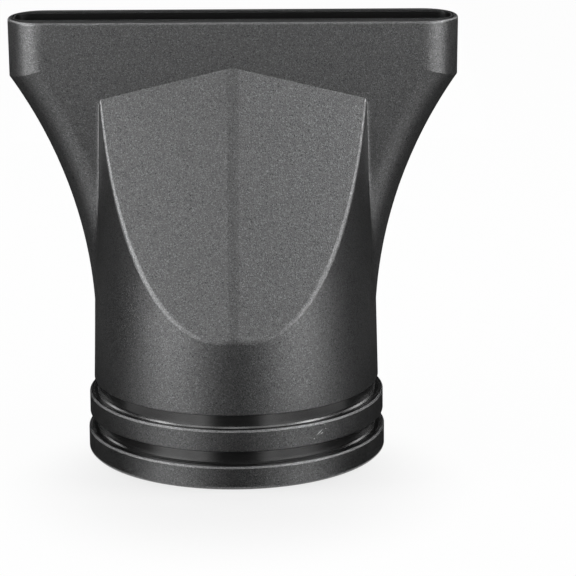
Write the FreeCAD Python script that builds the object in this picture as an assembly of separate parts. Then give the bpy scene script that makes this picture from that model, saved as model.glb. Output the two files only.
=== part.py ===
import FreeCAD, Part
import math
import os

# Push-on collar. Its walls are measured outwards from the bore that slides over the dryer barrel.
bore_diameter = 46.0
bore_depth = 16.0
bore_lead_in = 0.6
stop_ledge = 0.6
foot_ring_wall = 3.5
foot_ring_height = 4.1
lower_groove_height = 2.65
upper_ring_wall = 3.25
upper_ring_height = 3.85
upper_groove_height = 2.4
groove_wall = 1.65
groove_root_bevel = 0.25
ring_edge_bevel = 0.3
under_edge_bevel = 0.15

# Round body above the collar, narrowing upwards at a steady draft.
body_foot_wall = 2.37
body_draft = 1.45

# Flat fan. Its round edges sweep out from the body and turn sharply into the straight sides of the lip.
nozzle_height = 78.0
fan_width = 78.4
fan_thickness = 12.8
fan_edge_flat = 0.4
fan_root_height = 22.1
fan_root_cover = 0.27
lip_height = 10.2
lip_flare = 0.1
lip_edge_radius = 0.45

# Air slot through the lip, with a thin inner lip that a fine groove parts from the rest of the rim.
slot_width = 6.2
slot_end_wall = 1.3
slot_corner_radius = 2.2
inner_lip_side = 0.45
inner_lip_end = 0.25
rim_groove_side = 0.5
rim_groove_end = 0.25
rim_groove_depth = 0.5

# Sloping facets, front and back. Each is two halves that meet in a low, soft ridge.
# Their curved edges are rounded most at the foot and least at the two tips.
facet_start_height = 26.3
facet_apex_drop = 7.9
facet_turn = 5.8
facet_ridge_radius = 10.0
facet_foot_rounding = 2.0
facet_tip_rounding = 0.4
facet_wall = 2.4

# How far hidden ends and cutting tools run past what they meet, and how closely edges are told apart.
overrun = 1.0
fuzz = 0.001

bore_radius = bore_diameter / 2
foot_ring_radius = bore_radius + foot_ring_wall
upper_ring_radius = bore_radius + upper_ring_wall
groove_radius = bore_radius + groove_wall
body_foot_radius = bore_radius + body_foot_wall

lower_groove_top = foot_ring_height + lower_groove_height
upper_ring_top = lower_groove_top + upper_ring_height
body_foot_height = upper_ring_top + upper_groove_height
lip_start_height = nozzle_height - lip_height
apex_height = nozzle_height - facet_apex_drop

fan_half = fan_thickness / 2
slot_half = slot_width / 2
slot_half_length = fan_width / 2 - slot_end_wall
draft_slope = math.tan(math.radians(body_draft))
turn_slope = math.tan(math.radians(facet_turn))


def body_radius(height):
    """Outer radius of the drafted body."""
    return body_foot_radius - (height - body_foot_height) * draft_slope


def duct_radius(height):
    """Inner radius of the drafted duct above the stop ledge."""
    return bore_radius - stop_ledge - (height - bore_depth) * draft_slope


# The ridge of each facet runs straight from the round body to its apex on the flat face of the fan.
# The air way has the same facets, moved inwards by the wall.
facet_radius = body_radius(facet_start_height)
facet_slope = (facet_radius - fan_half) / (apex_height - facet_start_height)
duct_facet_radius = facet_radius - facet_wall * math.sqrt(1 + facet_slope**2 + turn_slope**2)


def hidden_top(ridge_radius, half_thickness):
    """Height at which a ridge has sunk one overrun below the flat face that it runs into."""
    return facet_start_height + (ridge_radius - half_thickness + overrun) / facet_slope


def revolved(points):
    """Solid of revolution about Z from corners given as (radius, height), closed along the axis."""
    places = [FreeCAD.Vector(radius, 0, height) for radius, height in points]
    outline = Part.makePolygon(places + places[:1])
    return Part.Face(outline).revolve(FreeCAD.Vector(0, 0, 0), FreeCAD.Vector(0, 0, 1), 360)


def collar_and_body():
    """Rings, grooves and the round body above them, as one turned form with bevelled ring edges."""
    top = hidden_top(facet_radius, fan_half)
    return revolved([
        (0, 0),
        (foot_ring_radius - ring_edge_bevel, 0),
        (foot_ring_radius, ring_edge_bevel),
        (foot_ring_radius, foot_ring_height - ring_edge_bevel),
        (foot_ring_radius - ring_edge_bevel, foot_ring_height),
        (groove_radius + groove_root_bevel, foot_ring_height),
        (groove_radius, foot_ring_height + groove_root_bevel),
        (groove_radius, lower_groove_top),
        (upper_ring_radius - under_edge_bevel, lower_groove_top),
        (upper_ring_radius, lower_groove_top + under_edge_bevel),
        (upper_ring_radius, upper_ring_top - ring_edge_bevel),
        (upper_ring_radius - ring_edge_bevel, upper_ring_top),
        (groove_radius + groove_root_bevel, upper_ring_top),
        (groove_radius, upper_ring_top + groove_root_bevel),
        (groove_radius, body_foot_height),
        (body_foot_radius - under_edge_bevel, body_foot_height),
        (body_radius(body_foot_height + under_edge_bevel), body_foot_height + under_edge_bevel),
        (body_radius(top), top),
        (0, top),
    ])


def bore_and_duct():
    """Space inside the collar and the round body: lead-in, bore, stop ledge and drafted duct."""
    top = hidden_top(duct_facet_radius, slot_half)
    return revolved([
        (0, -overrun),
        (bore_radius + bore_lead_in + overrun, -overrun),
        (bore_radius, bore_lead_in),
        (bore_radius, bore_depth),
        (duct_radius(bore_depth), bore_depth),
        (duct_radius(top), top),
        (0, top),
    ])


def facet_tool(ridge_radius, top):
    """Block in front of one facet, sheared back as it rises so that its ridged rear lies on the facet."""
    start_height = facet_start_height - overrun
    rise = top + overrun - start_height
    reach = foot_ring_radius + overrun
    ridge_y = -ridge_radius - overrun * facet_slope
    side_y = ridge_y + reach * turn_slope
    front_y = ridge_y - reach
    turn = math.radians(facet_turn)
    tangent_x = facet_ridge_radius * math.sin(turn)
    tangent_y = ridge_y + tangent_x * turn_slope
    crown_y = tangent_y - facet_ridge_radius * (1 - math.cos(turn))

    left = FreeCAD.Vector(-reach, side_y, start_height)
    left_tangent = FreeCAD.Vector(-tangent_x, tangent_y, start_height)
    crown = FreeCAD.Vector(0, crown_y, start_height)
    right_tangent = FreeCAD.Vector(tangent_x, tangent_y, start_height)
    right = FreeCAD.Vector(reach, side_y, start_height)
    front_right = FreeCAD.Vector(reach, front_y, start_height)
    front_left = FreeCAD.Vector(-reach, front_y, start_height)
    outline = Part.Wire([
        Part.makeLine(left, left_tangent),
        Part.Arc(left_tangent, crown, right_tangent).toShape(),
        Part.makeLine(right_tangent, right),
        Part.makeLine(right, front_right),
        Part.makeLine(front_right, front_left),
        Part.makeLine(front_left, left),
    ])
    return Part.Face(outline).extrude(FreeCAD.Vector(0, rise * facet_slope, rise))


def with_facets(round_form, ridge_radius):
    """A round form cut by the front facet and by its twin at the back."""
    front = facet_tool(ridge_radius, round_form.BoundBox.ZMax)
    back = front.copy()
    back.rotate(FreeCAD.Vector(0, 0, 0), FreeCAD.Vector(0, 0, 1), 180)
    return round_form.cut([front, back])


def softened(body):
    """The faceted body with its curved facet edges rounded, less and less towards their tips."""
    def is_facet_edge(edge):
        middle = edge.valueAt((edge.FirstParameter + edge.LastParameter) / 2)
        on_body = abs(math.hypot(middle.x, middle.y) - body_radius(middle.z)) < fuzz
        return on_body and edge.BoundBox.ZLength > fuzz and edge.BoundBox.YLength > fuzz

    def rounding(edge, parameter):
        return facet_tip_rounding if edge.valueAt(parameter).z > apex_height else facet_foot_rounding

    bench = FreeCAD.newDocument()
    sharp = bench.addObject("Part::Feature", "sharp_body")
    sharp.Shape = body
    soft = bench.addObject("Part::Fillet", "soft_body")
    soft.Base = sharp
    soft.Edges = [
        (number, rounding(edge, edge.FirstParameter), rounding(edge, edge.LastParameter))
        for number, edge in enumerate(body.Edges, 1)
        if is_facet_edge(edge)
    ]
    bench.recompute()
    return soft.Shape


def fan_plate(root_half_width, start_half_width, half_thickness):
    """Flat plate whose sides sweep out in one arc from the root to the lip, and straight on past the rim."""
    spread = start_half_width - root_half_width
    rise = lip_start_height - fan_root_height
    sweep_radius = (spread**2 + rise**2) / (2 * spread)
    lean = math.asin(rise / sweep_radius)
    middle_half_width = root_half_width + sweep_radius * (1 - math.cos(lean / 2))
    middle_height = fan_root_height + sweep_radius * math.sin(lean / 2)
    top = nozzle_height + overrun
    top_half_width = start_half_width + (top - lip_start_height) * math.tan(lean)

    def corners(side):
        outline = [
            (root_half_width, fan_root_height),
            (middle_half_width, middle_height),
            (start_half_width, lip_start_height),
            (top_half_width, top),
        ]
        return [FreeCAD.Vector(side * across, -half_thickness, up) for across, up in outline]

    left_root, left_middle, left_lip, left_top = corners(-1)
    right_root, right_middle, right_lip, right_top = corners(1)
    outline = Part.Wire([
        Part.makeLine(left_root, right_root),
        Part.Arc(right_root, right_middle, right_lip).toShape(),
        Part.makeLine(right_lip, right_top),
        Part.makeLine(right_top, left_top),
        Part.makeLine(left_top, left_lip),
        Part.Arc(left_lip, left_middle, left_root).toShape(),
    ])
    return Part.Face(outline).extrude(FreeCAD.Vector(0, 2 * half_thickness, 0))


def lip_block():
    """Upright block with the flared sides of the lip, from the root of the fan to the rim."""
    rim_half_width = fan_width / 2
    foot_half_width = rim_half_width - lip_flare * (nozzle_height - fan_root_height) / lip_height
    left_foot = FreeCAD.Vector(-foot_half_width, -fan_half, fan_root_height)
    right_foot = FreeCAD.Vector(foot_half_width, -fan_half, fan_root_height)
    right_rim = FreeCAD.Vector(rim_half_width, -fan_half, nozzle_height)
    left_rim = FreeCAD.Vector(-rim_half_width, -fan_half, nozzle_height)
    outline = Part.makePolygon([left_foot, right_foot, right_rim, left_rim, left_foot])
    return Part.Face(outline).extrude(FreeCAD.Vector(0, fan_thickness, 0))


def round_edged(plate):
    """A plate of the fan's thickness with nearly full-round edges up its sides."""
    climbing = [
        edge for edge in plate.Edges
        if edge.BoundBox.YLength < fuzz and edge.BoundBox.ZLength > fuzz
    ]
    return plate.makeFillet(fan_half - fan_edge_flat / 2, climbing)


def fan():
    """The outside of the fan: the swept plate, cut to the sides and the rounded rim of the lip."""
    root_half_width = body_radius(fan_root_height) - fan_root_cover
    swept = round_edged(fan_plate(root_half_width, fan_width / 2 - lip_flare, fan_half))
    lip = round_edged(lip_block())
    rim = [edge for edge in lip.Edges if edge.BoundBox.ZMin > nozzle_height - fuzz]
    return swept.common(lip.makeFillet(lip_edge_radius, rim))


def slot_column(end_margin, side_margin, bottom):
    """Upright column with the slot's outline, enlarged by the margins, from bottom to above the rim."""
    half_length = slot_half_length + end_margin
    half_width = slot_half + side_margin
    corner = FreeCAD.Vector(-half_length, -half_width, bottom)
    block = Part.makeBox(2 * half_length, 2 * half_width, nozzle_height + overrun - bottom, corner)
    upright = [edge for edge in block.Edges if edge.BoundBox.ZLength > fuzz]
    return block.makeFillet(slot_corner_radius + end_margin, upright)


def rim_groove():
    """Fine groove round the inner lip of the slot."""
    bottom = nozzle_height - rim_groove_depth
    outside = slot_column(inner_lip_end + rim_groove_end, inner_lip_side + rim_groove_side, bottom)
    return outside.cut(slot_column(inner_lip_end, inner_lip_side, bottom))


def outer_form():
    """Collar, body with softened facet edges, and the fan."""
    body = with_facets(collar_and_body(), facet_radius)
    return softened(body).fuse(fan())


def air_way():
    """The hollow from the collar's open end to the slot."""
    duct = with_facets(bore_and_duct(), duct_facet_radius)
    root_half_width = math.sqrt(duct_radius(fan_root_height)**2 - slot_half**2) - fan_root_cover
    passage = fan_plate(root_half_width, slot_half_length, slot_half)
    return duct.fuse(passage.common(slot_column(0, 0, fan_root_height)))


def nozzle_shell():
    """The whole moulding."""
    return outer_form().cut([air_way(), rim_groove()])


os.makedirs("parts", exist_ok=True)
nozzle_shell().exportStep("parts/nozzle_shell.step")
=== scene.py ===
import math

import bpy
from mathutils import Matrix, Vector

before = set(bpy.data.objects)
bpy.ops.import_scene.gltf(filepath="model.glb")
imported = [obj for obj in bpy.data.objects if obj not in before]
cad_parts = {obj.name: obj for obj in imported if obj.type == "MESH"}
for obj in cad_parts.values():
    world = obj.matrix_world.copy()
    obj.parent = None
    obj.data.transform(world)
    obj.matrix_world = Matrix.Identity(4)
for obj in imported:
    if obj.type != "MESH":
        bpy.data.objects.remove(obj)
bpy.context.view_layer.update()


# Nozzle: one hard moulding that pushes over the barrel of a hair dryer and spreads its air into a flat jet.
# It is injection moulded in charcoal plastic with a fine metallic fleck. The tool is spark-eroded where the
# outside shows, which leaves a fine grain, and polished in the grooves and round the mouth.
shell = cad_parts["nozzle_shell"]

charcoal = bpy.data.materials.new("charcoal_moulding")
charcoal.use_nodes = True
nodes = charcoal.node_tree.nodes
surface = nodes["Principled BSDF"]
surface.inputs["IOR"].default_value = 1.62
surface.inputs["Specular IOR Level"].default_value = 1.0


def wire(source, target):
    charcoal.node_tree.links.new(source, target)


def math_step(operation, first, second=0.0):
    step = nodes.new("ShaderNodeMath")
    step.operation = operation
    for socket, value in zip(step.inputs, (first, second)):
        if isinstance(value, float):
            socket.default_value = value
        else:
            wire(value, socket)
    return step.outputs["Value"]


def vector_step(operation, first, second=(0.0, 0.0, 0.0)):
    step = nodes.new("ShaderNodeVectorMath")
    step.operation = operation
    for socket, value in zip(step.inputs, (first, second)):
        if isinstance(value, tuple):
            socket.default_value = value
        else:
            wire(value, socket)
    return step


place = nodes.new("ShaderNodeTexCoord")
split = nodes.new("ShaderNodeSeparateXYZ")
wire(place.outputs["Object"], split.inputs["Vector"])
side, depth, height = split.outputs["X"], split.outputs["Y"], split.outputs["Z"]
across = vector_step("MULTIPLY", place.outputs["Object"], (1.0, 1.0, 0.0)).outputs["Vector"]
radius = vector_step("LENGTH", across).outputs["Value"]

# Where the tool is polished: in the two grooves with their ledges, and all over the inside.
collar_top = 0.01305
ring_root = 0.0259
facing_in = -0.0008
in_collar = math_step("LESS_THAN", height, collar_top)
in_grooves = math_step("MULTIPLY", in_collar, math_step("LESS_THAN", radius, ring_root))
outwards = vector_step("DOT_PRODUCT", place.outputs["Normal"], across).outputs["Value"]
inside = math_step("LESS_THAN", outwards, facing_in)
grained = math_step("SUBTRACT", 1.0, math_step("MAXIMUM", in_grooves, inside))

# The core that forms the air way is matt in the depth, and its polish comes in towards the mouth.
polish_height = 0.074
polish_reach = 0.008
below_mouth = math_step("MULTIPLY", math_step("SUBTRACT", polish_height, height), 1.0 / polish_reach)
deep_inside = math_step("MINIMUM", math_step("MAXIMUM", below_mouth, 0.0), 1.0)
matt_core = math_step("MULTIPLY", inside, deep_inside)

# A small moulded fillet eases the corner where the fan comes out of the round body.
body_foot_radius = 0.025699
body_draft = math.radians(1.45)
fan_half_thickness = 0.006405
facet_tips = 0.0640
fillet_fade = -4000.0
fillet_rise = 0.00012
drafted_radius = math_step("ADD", radius, math_step("MULTIPLY", height, math.tan(body_draft)))
off_body = math_step("MAXIMUM", math_step("SUBTRACT", drafted_radius, body_foot_radius), 0.0)
fillet_fall = math_step("EXPONENT", math_step("MULTIPLY", off_body, fillet_fade))
on_fan = math_step("LESS_THAN", math_step("ABSOLUTE", depth), fan_half_thickness)
fillet_reach = math_step("MULTIPLY", on_fan, math_step("LESS_THAN", height, facet_tips))
fillet = nodes.new("ShaderNodeBump")
fillet.inputs["Strength"].default_value = 1.0
fillet.inputs["Distance"].default_value = fillet_rise
wire(math_step("MULTIPLY", fillet_fall, fillet_reach), fillet.inputs["Height"])

# The grain is about a sixth of a millimetre from top to top.
grain_rise = 0.00005
grain = nodes.new("ShaderNodeTexNoise")
grain.inputs["Scale"].default_value = 6000.0
grain.inputs["Detail"].default_value = 2.0
grain.inputs["Roughness"].default_value = 0.6
wire(place.outputs["Object"], grain.inputs["Vector"])
grain_relief = nodes.new("ShaderNodeBump")
grain_relief.inputs["Strength"].default_value = 1.0
grain_relief.inputs["Distance"].default_value = grain_rise
wire(math_step("MULTIPLY", grain.outputs["Fac"], grained), grain_relief.inputs["Height"])
wire(fillet.outputs["Normal"], grain_relief.inputs["Normal"])
wire(grain_relief.outputs["Normal"], surface.inputs["Normal"])

# About half of the small cells are metallic flecks, from dark to pale. The plastic between is nearly black.
fleck_from = 0.495
flecks = nodes.new("ShaderNodeTexVoronoi")
flecks.inputs["Scale"].default_value = 7000.0
wire(place.outputs["Object"], flecks.inputs["Vector"])
fleck_chance = nodes.new("ShaderNodeSeparateColor")
wire(flecks.outputs["Color"], fleck_chance.inputs["Color"])
fleck_draw = math_step("MULTIPLY", fleck_chance.outputs["Red"], grained)
wire(math_step("GREATER_THAN", fleck_draw, fleck_from), surface.inputs["Metallic"])
tone = nodes.new("ShaderNodeValToRGB")
wire(fleck_draw, tone.inputs["Fac"])
darkest_plastic, palest_fleck = tone.color_ramp.elements
darkest_plastic.position = 0.0
darkest_plastic.color = (0.0010, 0.0010, 0.0010, 1.0)
palest_fleck.position = 1.0
palest_fleck.color = (0.2000, 0.2015, 0.2045, 1.0)
for position, colour in (
        (0.49, (0.0070, 0.0071, 0.0072, 1.0)),
        (0.50, (0.0600, 0.0606, 0.0615, 1.0))):
    tone.color_ramp.elements.new(position).color = colour

polished_roughness = 0.27
grain_roughness = 0.02
grain_roughness_spread = 0.10
core_roughness = 0.33
cell_roughness = math_step("MULTIPLY", fleck_chance.outputs["Green"], grain_roughness_spread)
over_polish = math_step("MULTIPLY", math_step("ADD", cell_roughness, grain_roughness), grained)
outside_roughness = math_step("ADD", over_polish, polished_roughness)
over_core = math_step("MULTIPLY", matt_core, core_roughness)
wire(math_step("ADD", outside_roughness, over_core), surface.inputs["Roughness"])

# Wear: two short slanting scratches and a few nicks at the right of the upper ring, where the plastic is
# paler. Each has its turn from the front and its height on the ring, half its length and width, and its lean.
ring_radius = 0.02625
ring_turn = math_step("ARCTAN2", side, math_step("MULTIPLY", depth, -1.0))
ring_face = nodes.new("ShaderNodeCombineXYZ")
wire(math_step("MULTIPLY", ring_turn, ring_radius), ring_face.inputs["X"])
wire(height, ring_face.inputs["Y"])
on_rings = math_step("GREATER_THAN", radius, ring_root)
worn = None
for turn, mark_height, half_length, half_width, lean in (
        (34.1, 0.00887, 0.00098, 0.00014, 34.0),
        (35.0, 0.00860, 0.00032, 0.00012, 24.0),
        (35.4, 0.00868, 0.00014, 0.00014, 0.0),
        (31.6, 0.00789, 0.00015, 0.00013, 0.0),
        (36.9, 0.00929, 0.00014, 0.00014, 0.0),
        (36.5, 0.01002, 0.00014, 0.00013, 0.0)):
    mark = nodes.new("ShaderNodeMapping")
    mark.vector_type = "TEXTURE"
    mark.inputs["Location"].default_value = (math.radians(turn) * ring_radius, mark_height, 0.0)
    mark.inputs["Rotation"].default_value = (0.0, 0.0, math.radians(lean))
    mark.inputs["Scale"].default_value = (half_length, half_width, 1.0)
    wire(ring_face.outputs["Vector"], mark.inputs["Vector"])
    from_middle = vector_step("LENGTH", mark.outputs["Vector"]).outputs["Value"]
    cut = math_step("MAXIMUM", math_step("SUBTRACT", 1.0, from_middle), 0.0)
    worn = cut if worn is None else math_step("MAXIMUM", worn, cut)
bare = nodes.new("ShaderNodeMix")
bare.data_type = "RGBA"
wire(math_step("MULTIPLY", worn, on_rings), bare.inputs[0])
wire(tone.outputs["Color"], bare.inputs[6])
bare.inputs[7].default_value = (0.75, 0.75, 0.75, 1.0)
wire(bare.outputs[2], surface.inputs["Base Color"])

shell.material_slots[0].material = charcoal


# Studio floor: a plain sheet of white matt board that the nozzle stands on. It looks nearly white to the
# camera and in gloss.
# Close to the foot, and most just in front of it, its glow fades out: painted shade, through which the lamps'
# soft cast shadow shows.
bpy.ops.object.select_all(action="DESELECT")
bpy.ops.mesh.primitive_plane_add(size=4.0, location=(0.0, 0.0, 0.0))
floor = bpy.context.object
floor.name = "studio_floor"
board = bpy.data.materials.new("white_board")
board.use_nodes = True
board_nodes = board.node_tree.nodes
board_wire = board.node_tree.links.new
board_surface = board_nodes["Principled BSDF"]
board_surface.inputs["Base Color"].default_value = (0.52, 0.52, 0.52, 1.0)
board_surface.inputs["Roughness"].default_value = 0.9
board_surface.inputs["Specular IOR Level"].default_value = 0.1
board_glow = board_nodes.new("ShaderNodeEmission")
board_glow.inputs["Strength"].default_value = 1.0

rays = board_nodes.new("ShaderNodeLightPath")
seen = rays.outputs["Is Camera Ray"]
for ray_kind in ("Is Glossy Ray", "Is Transmission Ray"):
    either = board_nodes.new("ShaderNodeMath")
    either.operation = "MAXIMUM"
    board_wire(seen, either.inputs[0])
    board_wire(rays.outputs[ray_kind], either.inputs[1])
    seen = either.outputs["Value"]

# Painted shade: the glow share drops from 0.96 far off to 0.62 near a point just in front of the foot,
# darkening the floor there.
board_place = board_nodes.new("ShaderNodeTexCoord")
from_foot = board_nodes.new("ShaderNodeVectorMath")
from_foot.operation = "DISTANCE"
from_foot.inputs[1].default_value = (0.0, -0.026, 0.0)
board_wire(board_place.outputs["Object"], from_foot.inputs[0])
glow_share_painted_shade = board_nodes.new("ShaderNodeMapRange")
glow_share_painted_shade.interpolation_type = "SMOOTHSTEP"
glow_share_painted_shade.inputs["From Min"].default_value = 0.014
glow_share_painted_shade.inputs["From Max"].default_value = 0.044
glow_share_painted_shade.inputs["To Min"].default_value = 0.62
glow_share_painted_shade.inputs["To Max"].default_value = 0.96
board_wire(from_foot.outputs["Value"], glow_share_painted_shade.inputs["Value"])
lift = board_nodes.new("ShaderNodeMath")
lift.operation = "MULTIPLY"
board_wire(seen, lift.inputs[0])
board_wire(glow_share_painted_shade.outputs["Result"], lift.inputs[1])
lifted_board = board_nodes.new("ShaderNodeMixShader")
board_wire(lift.outputs["Value"], lifted_board.inputs["Fac"])
board_wire(board_surface.outputs["BSDF"], lifted_board.inputs[1])
board_wire(board_glow.outputs["Emission"], lifted_board.inputs[2])
board_wire(lifted_board.outputs["Shader"], board_nodes["Material Output"].inputs["Surface"])
floor.data.materials.append(board)


# Black sheets: glossy acrylic round the foot and behind it at each side, which only the nozzle sees and which
# throw no shadow. They are painted shade in its gloss, keeping the dark sides dark against the white, and
# they mirror the low soft boxes in the rings.
sheet_height = 0.0005
acrylic = bpy.data.materials.new("painted_shade_black_acrylic")
acrylic.use_nodes = True
acrylic_surface = acrylic.node_tree.nodes["Principled BSDF"]
acrylic_surface.inputs["Base Color"].default_value = (0.004, 0.004, 0.004, 1.0)
acrylic_surface.inputs["Roughness"].default_value = 0.12
for sheet_name, sheet_x, sheet_y, sheet_width, sheet_depth in (
        ("black_sheet", 0.0, 0.0, 1.0, 0.48),
        ("left_back_sheet", -0.28, 0.40, 0.44, 0.32),
        ("right_back_sheet", 0.28, 0.40, 0.44, 0.32)):
    bpy.ops.object.select_all(action="DESELECT")
    bpy.ops.mesh.primitive_plane_add(size=1.0, location=(sheet_x, sheet_y, sheet_height))
    sheet = bpy.context.object
    sheet.name = sheet_name
    sheet.scale = (sheet_width, sheet_depth, 1.0)
    sheet.visible_camera = False
    sheet.visible_shadow = False
    sheet.data.materials.append(acrylic)


# Grey cards: plain matt paper, two on the sheet at each side, which only the nozzle sees. They throw a soft
# light up into the swept edges of the fan.
card_size = 0.09
card_height = 0.001
for card_name, card_x, card_y, card_grey in (
        ("left_front_card", -0.091, -0.0525, 0.24),
        ("right_front_card", 0.091, -0.0525, 0.24),
        ("left_side_card", -0.105, 0.045, 0.05),
        ("right_side_card", 0.105, 0.045, 0.05)):
    bpy.ops.object.select_all(action="DESELECT")
    bpy.ops.mesh.primitive_plane_add(size=card_size, location=(card_x, card_y, card_height))
    card = bpy.context.object
    card.name = card_name
    card.visible_camera = False
    card.visible_shadow = False
    grey_card = bpy.data.materials.new("grey_card")
    grey_card.use_nodes = True
    grey_card_surface = grey_card.node_tree.nodes["Principled BSDF"]
    grey_card_surface.inputs["Base Color"].default_value = (card_grey, card_grey, card_grey, 1.0)
    grey_card_surface.inputs["Roughness"].default_value = 0.9
    card.data.materials.append(grey_card)


# Lights: soft boxes in rows at the left and right, from low ones that draw lines down the round body to high
# ones that light the facets, with a few overhead and behind. Each is a plain white panel facing the nozzle,
# with its turn from the front and its rise in degrees, its width and height, and its brightness.
box_distance = 0.6
nozzle_middle = Vector((0.0, 0.0, 0.04))
for box_name, turn, rise, box_width, box_height, brightness in (
        ("left_column", -30.0, 17.0, 0.16, 0.44, 1.2),
        ("right_column", 30.0, 17.0, 0.16, 0.44, 0.7),
        ("left_line", -28.0, 12.0, 0.11, 0.13, 4.6),
        ("right_line", 28.0, 12.0, 0.11, 0.13, 4.6),
        ("left_low", -53.0, 3.0, 0.34, 0.16, 6.2),
        ("right_low", 53.0, 3.0, 0.34, 0.16, 5.9),
        ("left_middle", -52.5, 17.0, 0.32, 0.16, 2.1),
        ("left_side", -60.0, 31.0, 0.47, 0.16, 7.2),
        ("right_side", 60.0, 31.0, 0.47, 0.16, 7.4),
        ("right_key", 30.0, 45.0, 0.16, 0.16, 3.7),
        ("front_top", 0.0, 38.0, 0.16, 0.30, 0.8),
        ("left_top", -50.0, 60.0, 0.16, 0.16, 3.2),
        ("right_top", 50.0, 60.0, 0.16, 0.16, 2.4),
        ("left_edge", -95.0, 57.0, 0.18, 0.18, 12.0),
        ("right_edge", 95.0, 57.0, 0.18, 0.18, 12.0),
        ("top_edge", 0.0, 74.0, 0.16, 0.16, 3.6),
        ("left_back", -140.0, 50.0, 0.22, 0.22, 4.0),
        ("right_back", 140.0, 50.0, 0.22, 0.22, 4.5),
        ("left_far", -135.0, 28.0, 0.24, 0.16, 4.0),
        ("right_far", 135.0, 28.0, 0.24, 0.16, 4.0),
        ("overhead", 180.0, 75.0, 0.16, 0.16, 3.4),
        ("back_box", 180.0, 50.0, 0.16, 0.16, 1.8)):
    lamp = bpy.data.lights.new(box_name, "AREA")
    lamp.shape = "RECTANGLE"
    lamp.size = box_width
    lamp.size_y = box_height
    lamp.energy = math.pi * box_width * box_height * brightness
    box = bpy.data.objects.new(box_name, lamp)
    bpy.context.collection.objects.link(box)
    turn_angle, rise_angle = math.radians(turn), math.radians(rise)
    towards_box = Vector((
        math.cos(rise_angle) * math.sin(turn_angle),
        -math.cos(rise_angle) * math.cos(turn_angle),
        math.sin(rise_angle)))
    box.location = nozzle_middle + box_distance * towards_box
    box.rotation_euler = (nozzle_middle - box.location).to_track_quat("-Z", "Y").to_euler()

room = bpy.data.worlds.new("dim_room")
room.use_nodes = True
room.node_tree.nodes["Background"].inputs["Color"].default_value = (1.0, 1.0, 1.0, 1.0)
room.node_tree.nodes["Background"].inputs["Strength"].default_value = 0.005
bpy.context.scene.world = room


# Camera: a long lens a little above the nozzle, looking down on it, with a slight lean.
# Colours are shown in the plain Standard view.
look_down = math.radians(15.64)
lean_over = math.radians(-0.323)
lens = bpy.data.cameras.new("long_lens")
lens.sensor_width = 36.0
lens.lens = 206.28
camera = bpy.data.objects.new("camera", lens)
bpy.context.collection.objects.link(camera)
camera.matrix_world = (
    Matrix.Translation((0.009342, -0.56577, 0.187135))
    @ Matrix.Rotation(math.radians(90.0) - look_down, 4, "X")
    @ Matrix.Rotation(lean_over, 4, "Z"))
bpy.context.scene.camera = camera
bpy.context.scene.view_settings.view_transform = "Standard"
